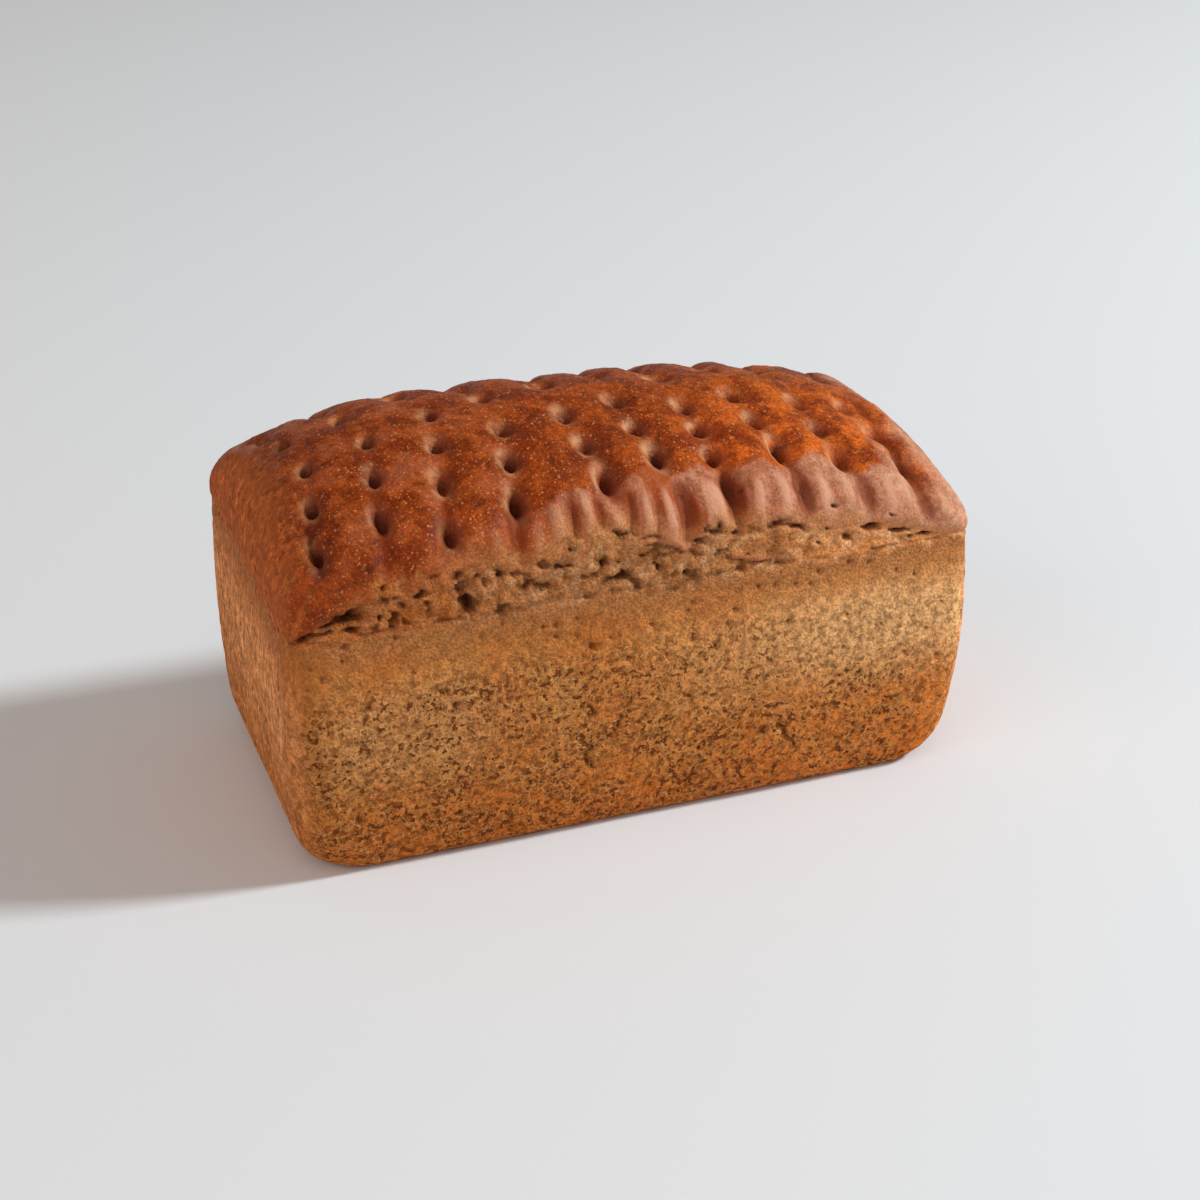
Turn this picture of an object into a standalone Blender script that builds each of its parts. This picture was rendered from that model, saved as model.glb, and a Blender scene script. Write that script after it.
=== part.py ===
"""Tin loaf: a whole, uncut loaf of dense bread, baked in an open tin and docked with rows of holes.

One solid. The tin gave it straight walls that lean out a little and a flat base, and above the
tin's rim the dough rose into a domed crust and tore along both long sides. The origin is on the
table under the middle of the loaf, with its length along X and the side seen first facing -Y.
"""

import math

import bmesh
import bpy
import numpy as np
from mathutils import Matrix, Vector, noise

MM = 0.001

# Driving dimensions, in metres

RIM_LENGTH = 230 * MM
RIM_WIDTH = 118 * MM
RIM_HEIGHT = 86.5 * MM
BASE_LENGTH = 229 * MM
BASE_WIDTH = 114 * MM
RIM_CORNER = 6 * MM
BASE_CORNER = 16 * MM

# How far each wall swells past a straight line between base and rim, at half height
END_SWELL = 1.5 * MM
SIDE_SWELL = 4.0 * MM

# The rounding where each wall meets the base: how far in, and how far up
END_ROUND = (11 * MM, 18 * MM)
SIDE_ROUND = (4.1 * MM, 11 * MM)

# The dome over the rim: its height, the powers that set how square it is along and across, how
# much lower it gets to the right, and how far the ridge of its crown is rounded off
DOME_HEIGHT = 45.0 * MM
DOME_ALONG = (2.37, 0.31)
DOME_ACROSS = (1.48, 0.28)
DOME_LEAN = -0.12
CROWN_ROUND = 0.25

# The torn band above the rim on each long side: where it is tallest, and how tall and rough.
# It fades out between the two distances from the middle of the loaf, and upward between the two
# shares of its own height.
TEAR_MIDDLE = -5 * MM
TEAR_SPREAD = 55 * MM
TEAR_HEIGHT = (3 * MM, 14 * MM)
TEAR_DEPTH = 2.4 * MM
TEAR_GRAIN = 11 * MM
TEAR_ENDS = (76 * MM, 106 * MM)
TEAR_TOP = (0.6, 1.1)
TEAR_FOOT = 2 * MM

# The lip of crust over the band: its place in band heights, how broad it is, and how proud
LIP_PLACE = 1.25
LIP_BREADTH = 4 * MM
LIP_DEPTH = 1.3 * MM

# The flutes that run down the shoulders from the outer docking holes, and where they start, in
# band heights
FLUTE_PITCH = 10.5 * MM
FLUTE_DEPTH = 0.8 * MM
FLUTE_START = (1.0, 1.6)

# Slow unevenness of the walls and the crust: how long its waves are, and how high
WALL_WAVE = (45 * MM, 0.5 * MM)
CRUST_WAVE = (28 * MM, 1.1 * MM)
BASE_CALM = 8 * MM

# The columns of docking holes, pressed by hand. Each has its place along the crown, its place
# along the shoulder, its first hole on the near side of the crown, and the spacing from there on.
DOCK_COLUMNS = (
    (-94 * MM, -103 * MM, -9 * MM, 19.0 * MM),
    (-74 * MM, -82 * MM, -6 * MM, 19.0 * MM),
    (-52 * MM, -62 * MM, 1 * MM, 18.5 * MM),
    (-30 * MM, -39 * MM, -15 * MM, 17.0 * MM),
    (-11 * MM, -7 * MM, -11 * MM, 17.5 * MM),
    (10 * MM, 13 * MM, -3 * MM, 17.5 * MM),
    (32 * MM, 32 * MM, -10 * MM, 14.0 * MM),
    (51 * MM, 56 * MM, -4 * MM, 17.0 * MM),
    (73 * MM, 75 * MM, -9 * MM, 17.0 * MM),
    (90 * MM, 99 * MM, -9 * MM, 17.5 * MM),
)
DOCK_CROWN_GAP = 26 * MM
DOCK_REACH = 54 * MM
DOCK_RADII = (1.3 * MM, 3.3 * MM)
DOCK_DEPTH = 6.0 * MM
DOCK_STAND = 3.0 * MM
DOCK_DIMPLE = (5.5 * MM, 1.0 * MM)
DOCK_SIDES = 7

# The mesh: cells along, across, up the walls, and up the shoulder to this far over the rim
CELLS = (54, 28)
WALL_CELLS = 12
SHOULDER_CELLS = 5
SHOULDER_WALK = 24 * MM

# How strongly the rows of the walls crowd towards the base and the rim
WALL_EASE = 0.55

CRUST_COLOUR = (0.33, 0.15, 0.06, 1.0)
CRUST_ROUGHNESS = 0.55


def dome_height(along, across):
    """The crust's height over the table, where along and across run from -1 to 1 between the rims."""
    softened = math.sqrt((across**2 + CROWN_ROUND**2) / (1 + CROWN_ROUND**2))
    lengthways = max(1 - abs(along) ** DOME_ALONG[0], 0) ** DOME_ALONG[1]
    crossways = max(1 - softened ** DOME_ACROSS[0], 0) ** DOME_ACROSS[1]
    return RIM_HEIGHT + DOME_HEIGHT * (1 + DOME_LEAN * along) * lengthways * crossways


def rounded(x, y, half_length, half_width, radius):
    """A point on a rectangle's outline, moved on to the arc where it lies in a corner."""
    past_x = abs(x) - (half_length - radius)
    past_y = abs(y) - (half_width - radius)
    if past_x <= 0 or past_y <= 0:
        return x, y
    pull = radius / math.hypot(past_x, past_y)
    return (
        math.copysign(half_length - radius + past_x * pull, x),
        math.copysign(half_width - radius + past_y * pull, y),
    )


def corner_inset(height, rounding):
    """How far the rounding at the base draws a wall in at this height."""
    inward, upward = rounding
    if height >= upward:
        return 0
    return inward * (1 - math.sqrt(1 - (1 - height / upward) ** 2))


def wall_point(across_x, across_y, height):
    """A point of the walls, from its place on a square of side 2 and its height."""
    share = height / RIM_HEIGHT
    swell = math.sin(math.pi * share)
    half_length = (BASE_LENGTH + (RIM_LENGTH - BASE_LENGTH) * share) / 2
    half_width = (BASE_WIDTH + (RIM_WIDTH - BASE_WIDTH) * share) / 2
    half_length += END_SWELL * swell - corner_inset(height, END_ROUND)
    half_width += SIDE_SWELL * swell - corner_inset(height, SIDE_ROUND)
    radius = BASE_CORNER + (RIM_CORNER - BASE_CORNER) * share
    x, y = rounded(
        across_x * half_length, across_y * half_width, half_length, half_width, radius
    )
    return Vector((x, y, height))


def shoulder_table():
    """Distances over the crust from the middle to the rim, and the share of the way out at each."""
    share = 1 - np.linspace(1, 0, 4000) ** 4
    height = np.array([dome_height(0, s) for s in share])
    step = np.hypot(np.diff(share) * RIM_WIDTH / 2, np.diff(height))
    return np.concatenate([[0], np.cumsum(step)]), share


WALK, SHARE_OUT = shoulder_table()


def crust_point(across_x, across_y, walked):
    """A point of the dome, from its place on a square of side 2 and the distance from the crown."""
    out = float(np.interp(walked, WALK, SHARE_OUT))
    half_length, half_width = RIM_LENGTH / 2, RIM_WIDTH / 2
    x, y = rounded(
        across_x * half_length, across_y * half_width, half_length, half_width, RIM_CORNER
    )
    return Vector((x * out, y * out, dome_height(across_x * out, across_y * out)))


def wall_height(step):
    """The height of a wall's vertex, from 0 at the base to 1 at the rim, closer near both ends."""
    eased = 0.5 - 0.5 * math.cos(math.pi * step)
    return RIM_HEIGHT * (step + (eased - step) * WALL_EASE)


def gridded_cube(cells):
    """A cube of side 2 with this many cells along X, Y and Z."""
    mesh = bmesh.new()
    bmesh.ops.create_cube(mesh, size=2)
    for axis, count in enumerate(cells):
        along = [
            edge
            for edge in mesh.edges
            if abs((edge.verts[0].co - edge.verts[1].co)[axis]) > 1e-6
        ]
        bmesh.ops.subdivide_edges(mesh, edges=along, cuts=count - 1, use_grid_fill=True)
    return mesh


def tear_height(x):
    """How far the torn band reaches over the rim at this place along the loaf."""
    low, high = TEAR_HEIGHT
    return low + (high - low) * math.exp(-(((x - TEAR_MIDDLE) / TEAR_SPREAD) ** 2))


def fade(value, start, end):
    """1 at start, 0 at end, smooth between."""
    share = min(max((value - start) / (end - start), 0), 1)
    return 1 - share * share * (3 - 2 * share)


def dock_walks(first, spacing):
    """How far from the crown each hole of a column lies, over the crust, on both sides of it."""
    near = np.arange(first, -DOCK_REACH, -spacing)
    far = np.arange(first + DOCK_CROWN_GAP, DOCK_REACH, spacing)
    return [*near, *far]


def dock_places():
    """Every docking hole: where it enters the crust, and the way that the crust faces there."""
    places = []
    for crown, shoulder, first, spacing in DOCK_COLUMNS:
        for walked in dock_walks(first, spacing):
            across = math.copysign(np.interp(abs(walked), WALK, SHARE_OUT), walked)
            x = crown + (shoulder - crown) * abs(walked) / DOCK_REACH
            along = x / (RIM_LENGTH / 2)
            place = Vector((x, across * RIM_WIDTH / 2, dome_height(along, across)))
            places.append((place, crust_normal(along, across)))
    return places


def crust_normal(along, across):
    """The direction that the dome faces at this place."""
    step = 0.004  # in shares of the half length and the half width
    slope_x = (dome_height(along + step, across) - dome_height(along - step, across)) / (
        step * RIM_LENGTH
    )
    slope_y = (dome_height(along, across + step) - dome_height(along, across - step)) / (
        step * RIM_WIDTH
    )
    return Vector((-slope_x, -slope_y, 1)).normalized()


def wave(point, size, shift=0):
    """A slow unevenness, from its length and its height."""
    length, height = size
    return height * noise.noise(point / length + Vector((shift, shift, shift)))


def shoulder_relief(point, normal):
    """The torn band, the lip over it and the flutes, on either long side above the rim."""
    over_rim = point.z - RIM_HEIGHT
    side = abs(normal.y) * fade(abs(point.x), *TEAR_ENDS)
    band = tear_height(point.x)
    foot = 1 - fade(over_rim, 0, TEAR_FOOT)
    torn = foot * fade(over_rim / band, *TEAR_TOP)
    rough = noise.fractal(point / TEAR_GRAIN, 1.0, 2.0, 3) - 0.5
    lip = math.exp(-(((over_rim - LIP_PLACE * band) / LIP_BREADTH) ** 2))
    fluted = (1 - fade(over_rim / band, *FLUTE_START)) * (1 - normal.z)
    flute = math.cos(math.tau * point.x / FLUTE_PITCH)
    return side * (torn * rough * TEAR_DEPTH + lip * LIP_DEPTH + fluted * flute * FLUTE_DEPTH)


def dimples(point, docks):
    """How far the crust is drawn in round the docking holes."""
    width, depth = DOCK_DIMPLE
    gaps = [(point - place).length / width for place, _ in docks]
    return depth * sum(math.exp(-gap * gap) for gap in gaps if gap < 3)


def relief(point, normal, docks):
    """How far the real surface stands out from the plain shape at this point."""
    if point.z < RIM_HEIGHT:
        return wave(point, WALL_WAVE) * (1 - fade(point.z, 0, BASE_CALM))
    uneven = wave(point, CRUST_WAVE, shift=5)
    return uneven + shoulder_relief(point, normal) - dimples(point, docks)


def placed(corner):
    """Where a vertex of the gridded cube belongs on the loaf, before the relief."""
    x, y, z = corner
    edge = max(abs(x), abs(y))
    if edge < 1e-6:
        return Vector((0, 0, dome_height(0, 0) if z > 0 else 0))
    x, y = x / edge, y / edge
    level = (z + 1) / 2 * (WALL_CELLS + SHOULDER_CELLS)
    if level < 1e-6:
        return wall_point(x, y, 0) * edge
    if level <= WALL_CELLS + 1e-6:
        return wall_point(x, y, wall_height(level / WALL_CELLS))
    climbed = (level - WALL_CELLS) / SHOULDER_CELLS * SHOULDER_WALK
    return crust_point(x, y, (WALK[-1] - climbed) * edge)


def loaf_mesh(docks):
    """The loaf's outer shape, with its relief, before the docking holes are pressed in."""
    mesh = gridded_cube((*CELLS, WALL_CELLS + SHOULDER_CELLS))
    for vertex in mesh.verts:
        vertex.co = placed(vertex.co)
    base = [face for face in mesh.faces if all(v.co.z < 1e-6 for v in face.verts)]
    bmesh.ops.dissolve_faces(mesh, faces=base, use_verts=True)
    mesh.normal_update()
    moves = [relief(v.co, v.normal, docks) * v.normal for v in mesh.verts]
    for vertex, move in zip(mesh.verts, moves):
        vertex.co += move
    bmesh.ops.recalc_face_normals(mesh, faces=mesh.faces)
    return mesh


def dock_cutters(docks):
    """A tapered pin for each docking hole, in one mesh."""
    mesh = bmesh.new()
    tip, mouth = DOCK_RADII
    taper = (mouth - tip) / DOCK_DEPTH
    for place, normal in docks:
        direction = (normal + Vector((0, 0, 1))).normalized()
        turn = direction.to_track_quat("Z", "Y").to_matrix().to_4x4()
        middle = place + direction * (DOCK_STAND - DOCK_DEPTH) / 2
        bmesh.ops.create_cone(
            mesh,
            cap_ends=True,
            segments=DOCK_SIDES,
            radius1=tip,
            radius2=mouth + taper * DOCK_STAND,
            depth=DOCK_STAND + DOCK_DEPTH,
            matrix=Matrix.Translation(middle) @ turn,
        )
    return mesh


def crust_material():
    material = bpy.data.materials.new("crust")
    material.use_nodes = True
    shader = material.node_tree.nodes["Principled BSDF"]
    shader.inputs["Base Color"].default_value = CRUST_COLOUR
    shader.inputs["Roughness"].default_value = CRUST_ROUGHNESS
    shader.inputs["Metallic"].default_value = 0.0
    return material


def add_object(name, mesh, collection):
    data = bpy.data.meshes.new(name)
    mesh.to_mesh(data)
    mesh.free()
    made = bpy.data.objects.new(name, data)
    collection.objects.link(made)
    return made


def add_collection(name):
    collection = bpy.data.collections.new(name)
    bpy.context.scene.collection.children.link(collection)
    return collection


def main():
    for item in list(bpy.data.objects):
        bpy.data.objects.remove(item, do_unlink=True)
    docks = dock_places()
    loaf = add_object("loaf", loaf_mesh(docks), add_collection("tin_loaf"))
    loaf.data.materials.append(crust_material())

    cutters = add_collection("cutters")
    cutters.hide_render = True
    pins = add_object("docking_pins", dock_cutters(docks), cutters)
    pins.hide_render = True
    pins.display_type = "WIRE"

    holes = loaf.modifiers.new("docking holes", "BOOLEAN")
    holes.object = pins
    holes.operation = "DIFFERENCE"
    holes.solver = "EXACT"
    loaf.data.shade_smooth()
    loaf.data.set_sharp_from_angle(angle=math.radians(40))


main()
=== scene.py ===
# %% [markdown]
# # A tin loaf in Blender
# The object is one whole, uncut loaf of dense brown bread. A tin gave it straight walls and a flat
# base. Over the rim of the tin the dough rose into a domed crust, and it tore along both long
# sides as it rose. Rows of holes were pressed into its top before the bake.
# The measured solid of the loaf is loaded first, so that everything here is made in its place.

# %% Open the measured loaf
import math

import bpy
import numpy as np
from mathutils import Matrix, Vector, kdtree, noise


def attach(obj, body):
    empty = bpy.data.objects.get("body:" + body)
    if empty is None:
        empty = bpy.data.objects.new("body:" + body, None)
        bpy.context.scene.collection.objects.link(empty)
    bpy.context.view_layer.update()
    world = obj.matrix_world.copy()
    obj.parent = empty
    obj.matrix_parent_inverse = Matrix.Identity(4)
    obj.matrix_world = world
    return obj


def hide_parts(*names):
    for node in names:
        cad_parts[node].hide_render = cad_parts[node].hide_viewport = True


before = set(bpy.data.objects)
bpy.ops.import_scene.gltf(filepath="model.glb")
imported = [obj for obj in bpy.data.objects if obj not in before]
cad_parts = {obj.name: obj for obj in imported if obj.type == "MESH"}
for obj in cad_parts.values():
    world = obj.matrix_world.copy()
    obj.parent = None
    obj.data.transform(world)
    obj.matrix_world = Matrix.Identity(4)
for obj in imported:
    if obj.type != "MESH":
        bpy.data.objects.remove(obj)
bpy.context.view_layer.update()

MM = 0.001

# %% [markdown]
# ## Camera, table and light
# The camera stands a little to the left of the loaf and looks down on it by about 28 degrees.
# A cool lamp, like a window, stands on the right, so that the shadow falls to the left. Two broad
# warm cards, one on the left and one over the front, and the pale room fill in the rest. The plain
# Standard view shows each colour as it was mixed. A plane is enough for the table. It isn't part of
# the loaf.

# %% Place the camera
CAMERA_PLACE = Vector((-0.2324, -0.6541, 0.4199))
CAMERA_AIM = Vector((0.0064, 0.0009, 0.0518))
LENS = 68.7


def deselect_all():
    for item in bpy.context.selected_objects:
        item.select_set(False)


deselect_all()
bpy.ops.object.camera_add(location=CAMERA_PLACE)
camera = bpy.context.object
camera.rotation_euler = (CAMERA_AIM - CAMERA_PLACE).to_track_quat("-Z", "Y").to_euler()
camera.data.lens = LENS
camera.data.clip_start = 0.01
bpy.context.scene.camera = camera
print("camera", round((CAMERA_AIM - CAMERA_PLACE).length, 3), "m from the loaf")

# %% Lay the table
TABLE_WHITE = (0.78, 0.775, 0.78, 1)

bpy.ops.mesh.primitive_plane_add(size=8, location=(0, 0, -0.0001))
table = bpy.context.object
table.name = "table"
table_paint = bpy.data.materials.new("table paint")
table_paint.use_nodes = True
table_paint.node_tree.nodes["Principled BSDF"].inputs["Base Color"].default_value = TABLE_WHITE
table_paint.node_tree.nodes["Principled BSDF"].inputs["Roughness"].default_value = 0.8
table.data.materials.append(table_paint)

# %% Light the room
LAMP_COOL, CARD_WARM, ROOM_WARM = (0.83, 0.94, 1.0), (1.0, 0.86, 0.77), (0.275, 0.26, 0.25, 1)


def add_lamp(name, towards, away, size, power, colour):
    """A round soft lamp that shines on the loaf from this side."""
    towards = Vector(towards).normalized()
    deselect_all()
    bpy.ops.object.light_add(type="AREA", location=towards * away)
    lamp = bpy.context.object
    lamp.name = name
    lamp.rotation_euler = (-towards).to_track_quat("-Z", "Y").to_euler()
    lamp.data.shape = "DISK"
    lamp.data.size = size
    lamp.data.energy = power
    lamp.data.color = colour
    print(name, power, "W,", away, "m away")


add_lamp("window lamp", (0.76, -0.20, 0.62), 3.0, 0.44, 82, LAMP_COOL)
add_lamp("warm card", (-0.85, -0.35, 0.36), 3.0, 3.4, 34, CARD_WARM)
add_lamp("front card", (-0.25, -0.60, 0.95), 2.8, 2.4, 10, CARD_WARM)
room = bpy.data.worlds.new("pale room")
room.use_nodes = True
room.node_tree.nodes["Background"].inputs["Color"].default_value = ROOM_WARM
bpy.context.scene.world = room
bpy.context.scene.view_settings.view_transform = "Standard"

# %% [markdown]
# ## The blank
# A tin loaf is a box with a soft top, so it starts as a cube. Its edges are subdivided into cells
# along each axis, the base is dissolved into one face because it stays flat, and a simple
# subdivision makes cells of about a millimetre. That is fine enough to press holes into.

# %% Cut the cube into cells
CELLS = (52, 26, 26)
WALL_SHARE = 18 / 26  # the share of the rows that lies below the rim

deselect_all()
bpy.ops.mesh.primitive_cube_add(size=2)
loaf = bpy.context.object
loaf.name = "baked_loaf"


def select_where(obj, kind, wanted):
    """Selects the vertices, edges or faces of a mesh for which wanted says yes, in edit mode."""
    bpy.ops.object.mode_set(mode="EDIT")
    bpy.ops.mesh.select_mode(type={"vertices": "VERT", "edges": "EDGE", "polygons": "FACE"}[kind])
    bpy.ops.mesh.select_all(action="DESELECT")
    bpy.ops.object.mode_set(mode="OBJECT")
    for item in getattr(obj.data, kind):
        item.select = bool(wanted(item))
    bpy.ops.object.mode_set(mode="EDIT")


def runs_along(axis):
    def test(edge):
        first, second = (loaf.data.vertices[i].co for i in edge.vertices)
        return abs((first - second)[axis]) > 1e-6

    return test


for axis, count in enumerate(CELLS):
    select_where(loaf, "edges", runs_along(axis))
    bpy.ops.mesh.subdivide(number_cuts=count - 1, quadcorner="STRAIGHT_CUT")
select_where(loaf, "polygons", lambda face: face.center.z < -0.999)
bpy.ops.mesh.dissolve_faces()
bpy.ops.object.mode_set(mode="OBJECT")

finer = loaf.modifiers.new("finer cells", "SUBSURF")
finer.subdivision_type = "SIMPLE"
finer.levels = finer.render_levels = 2
bpy.ops.object.modifier_apply(modifier=finer.name)
print("blank:", len(loaf.data.vertices), "vertices")

# %% [markdown]
# ## From the cube to the loaf
# Each vertex of the cube is moved to its place on the loaf. The rows below the rim follow the
# walls of the tin, which lean out, swell a little and round off at the base. The rows above it
# climb over the shoulders, and the top face becomes the crown. These are the same named sizes and
# curves as in the measured solid, so both have one outline.

# %% Sizes that the tin gave
RIM_LENGTH, RIM_WIDTH, RIM_HEIGHT = 230 * MM, 118 * MM, 86.5 * MM
BASE_LENGTH, BASE_WIDTH = 229 * MM, 114 * MM
RIM_CORNER, BASE_CORNER = 6 * MM, 16 * MM
END_SWELL, SIDE_SWELL = 1.5 * MM, 4.0 * MM
END_ROUND, SIDE_ROUND = (11 * MM, 18 * MM), (4.1 * MM, 11 * MM)
WALL_EASE = 0.55


def rounded(x, y, half_length, half_width, radius):
    """Points on a rectangle's outline, moved on to the arc where they lie in a corner."""
    past_x, past_y = np.abs(x) - (half_length - radius), np.abs(y) - (half_width - radius)
    corner = (past_x > 0) & (past_y > 0)
    pull = radius / np.maximum(np.hypot(past_x, past_y), 1e-9)
    turned_x = np.copysign(half_length - radius + past_x * pull, x)
    turned_y = np.copysign(half_width - radius + past_y * pull, y)
    return np.where(corner, turned_x, x), np.where(corner, turned_y, y)


def corner_inset(height, rounding):
    inward, upward = rounding
    left = np.clip(1 - height / upward, 0, 1)
    return inward * (1 - np.sqrt(1 - left**2))


def wall_points(x, y, height):
    """Points of the walls, from their place round a square of side 2 and their height."""
    share = height / RIM_HEIGHT
    swell = np.sin(np.pi * share)
    half_length = (BASE_LENGTH + (RIM_LENGTH - BASE_LENGTH) * share) / 2
    half_width = (BASE_WIDTH + (RIM_WIDTH - BASE_WIDTH) * share) / 2
    half_length = half_length + END_SWELL * swell - corner_inset(height, END_ROUND)
    half_width = half_width + SIDE_SWELL * swell - corner_inset(height, SIDE_ROUND)
    radius = BASE_CORNER + (RIM_CORNER - BASE_CORNER) * share
    x, y = rounded(x * half_length, y * half_width, half_length, half_width, radius)
    return np.stack([x, y, height], axis=1)


# %% The dome that the dough rose to
DOME_HEIGHT = 45.0 * MM
DOME_ALONG, DOME_ACROSS = (2.37, 0.31), (1.48, 0.28)
DOME_LEAN, CROWN_ROUND = -0.12, 0.25
SHOULDER_WALK = 24 * MM


def dome_height(along, across):
    softened = np.sqrt((across**2 + CROWN_ROUND**2) / (1 + CROWN_ROUND**2))
    lengthways = np.maximum(1 - np.abs(along) ** DOME_ALONG[0], 0) ** DOME_ALONG[1]
    crossways = np.maximum(1 - softened ** DOME_ACROSS[0], 0) ** DOME_ACROSS[1]
    return RIM_HEIGHT + DOME_HEIGHT * (1 + DOME_LEAN * along) * lengthways * crossways


SHARE_OUT = 1 - np.linspace(1, 0, 4000) ** 4
WALK = np.concatenate(
    [[0], np.cumsum(np.hypot(np.diff(SHARE_OUT) * RIM_WIDTH / 2, np.diff(dome_height(0, SHARE_OUT))))]
)
RIM_WALK = WALK[-1]


def crust_points(x, y, walked):
    """Points of the dome, from their place round a square and the distance from the crown."""
    out = np.interp(walked, WALK, SHARE_OUT)
    half_length, half_width = RIM_LENGTH / 2, RIM_WIDTH / 2
    rim_x, rim_y = rounded(x * half_length, y * half_width, half_length, half_width, RIM_CORNER)
    return np.stack([rim_x * out, rim_y * out, dome_height(x * out, y * out)], axis=1)


print("from crown to rim, over the crust:", round(RIM_WALK / MM, 1), "mm")

# %% Move the cube's vertices on to the loaf


def read_points(mesh, what="co"):
    values = np.empty(len(mesh.vertices) * 3, np.float32)
    mesh.vertices.foreach_get(what, values)
    return values.reshape(-1, 3).astype(float)


def write_points(mesh, points):
    mesh.vertices.foreach_set("co", points.astype(np.float32).ravel())
    mesh.update()


cube = read_points(loaf.data)
edge = np.maximum(np.abs(cube[:, :2]).max(axis=1), 1e-9)
around_x, around_y = cube[:, 0] / edge, cube[:, 1] / edge
level = (cube[:, 2] + 1) / 2
step = np.clip(level / WALL_SHARE, 0, 1)
wall_height = RIM_HEIGHT * (step + (0.5 - 0.5 * np.cos(np.pi * step) - step) * WALL_EASE)
climbed = np.maximum(level - WALL_SHARE, 0) / (1 - WALL_SHARE) * SHOULDER_WALK
walked = (RIM_WALK - climbed) * np.where(cube[:, 2] > 0.9999, edge, 1)

on_wall = level <= WALL_SHARE + 1e-6
on_base = cube[:, 2] < -0.9999
walls = wall_points(around_x, around_y, wall_height)
walls[on_base, :2] *= edge[on_base, None]
plain = np.where(on_wall[:, None], walls, crust_points(around_x, around_y, walked))
write_points(loaf.data, plain)
facing = read_points(loaf.data, "normal")
climb = np.where(on_wall, wall_height - RIM_HEIGHT, RIM_WALK - walked)
print("plain loaf:", [round(float(v) / MM, 1) for v in np.ptp(plain, axis=0)], "mm")

# %% [markdown]
# ## Slow unevenness
# Dough never fills a tin evenly. Two slow waves of noise, one for the walls and one for the
# crust, take the stiffness out of the form. Blender's noise gives the same values each run.

# %% Make the walls and the crust uneven
WALL_WAVE = (45 * MM, 0.5 * MM)
CRUST_WAVE = (28 * MM, 1.1 * MM)
BASE_CALM = 8 * MM
CRUST_SHIFT = 5


def rise(value, start, end):
    """0 at start and 1 at end, smooth between."""
    share = np.clip((value - start) / (end - start), 0, 1)
    return share * share * (3 - 2 * share)


def wave(points, length, shift=0.0, octaves=1):
    """Soft noise about this long, the same at the same place on each run."""
    moved = points / length + shift
    if octaves == 1:
        return np.array([noise.noise(Vector(p)) for p in moved])
    return np.array([noise.fractal(Vector(p), 1.0, 2.0, octaves) for p in moved])


slow_wall = wave(plain, WALL_WAVE[0]) * WALL_WAVE[1] * rise(plain[:, 2], 0, BASE_CALM)
slow_crust = wave(plain, CRUST_WAVE[0], CRUST_SHIFT) * CRUST_WAVE[1]
relief = np.where(plain[:, 2] < RIM_HEIGHT, slow_wall, slow_crust)
print("slow waves:", round(float(np.ptp(relief)) / MM, 2), "mm from low to high")

# %% [markdown]
# ## The torn band
# Just over the rim, where the dough couldn't stretch any more, it tore open along each long side.
# The band of bare crumb is ragged: tall in the middle, thin at both ends, with an uneven edge of
# crust that hangs over it. Its height is drawn at a few places along the loaf, and noise
# makes its edge ragged.

# %% Draw the band's height along each side
# How tall the band is, in millimetres, at these places along the loaf, near side and far side
NEAR_BAND = (
    (-115, 2), (-108, 5), (-100, 9), (-90, 15), (-84, 18), (-76, 15), (-66, 18), (-50, 17),
    (-38, 13), (-28, 20), (-16, 21), (-8, 21), (3, 18), (14, 13), (23, 18), (34, 17), (45, 16),
    (54, 14), (69, 12.5), (76, 12.5), (87, 10), (100, 5.5), (115, 2),
)
FAR_BAND = (
    (-115, 1.5), (-101, 3), (-88, 6), (-74, 9), (-60, 13), (-47, 12), (-35, 17), (-22, 19),
    (-12, 15), (0, 20), (12, 17), (24, 19), (37, 14), (50, 17), (62, 15), (74, 17), (83, 13),
    (92, 12), (102, 7), (115, 2),
)
BAND_RAG = ((7 * MM, 2.2 * MM), (2.6 * MM, 1.1 * MM))


def band_height(points):
    """The height of the torn band over the rim, on the side of the loaf where each point lies."""
    near, far = (np.array(band) * MM for band in (NEAR_BAND, FAR_BAND))
    x, y = points[:, 0], points[:, 1]
    tall = np.where(y < 0, np.interp(x, *near.T), np.interp(x, *far.T))
    edge_line = np.stack([x, np.sign(y) * RIM_WIDTH / 2, np.zeros(len(x))], axis=1)
    share = np.clip(tall / (14 * MM), 0.15, 1)
    for length, height in BAND_RAG:
        tall = tall + wave(edge_line, length, 3.3) * height * share
    return np.maximum(tall, 1 * MM)


band = band_height(plain)
up_band = climb / band
side_face = rise(np.abs(facing[:, 1]), 0.35, 0.65) * ~on_base
torn = side_face * rise(climb, -0.6 * MM, 0.5 * MM) * (1 - rise(up_band, 0.93, 1.03))
print("torn band: up to", round(float(band.max()) / MM, 1), "mm tall")

# %% Open the crumb and lift the lip over it
CRUMB_RECESS = 0.2 * MM
CRUMB_COARSE, CRUMB_FINE = (6 * MM, 1.1 * MM), (2.4 * MM, 0.6 * MM)
CAVE_SIZE, CAVE_DEPTH = 5 * MM, 1.3 * MM
LIP_PROUD, LIP_BREADTH, LIP_DROP = 0.4 * MM, 4 * MM, 0.5 * MM
SEAM_DEPTH = 0.6 * MM

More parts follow.
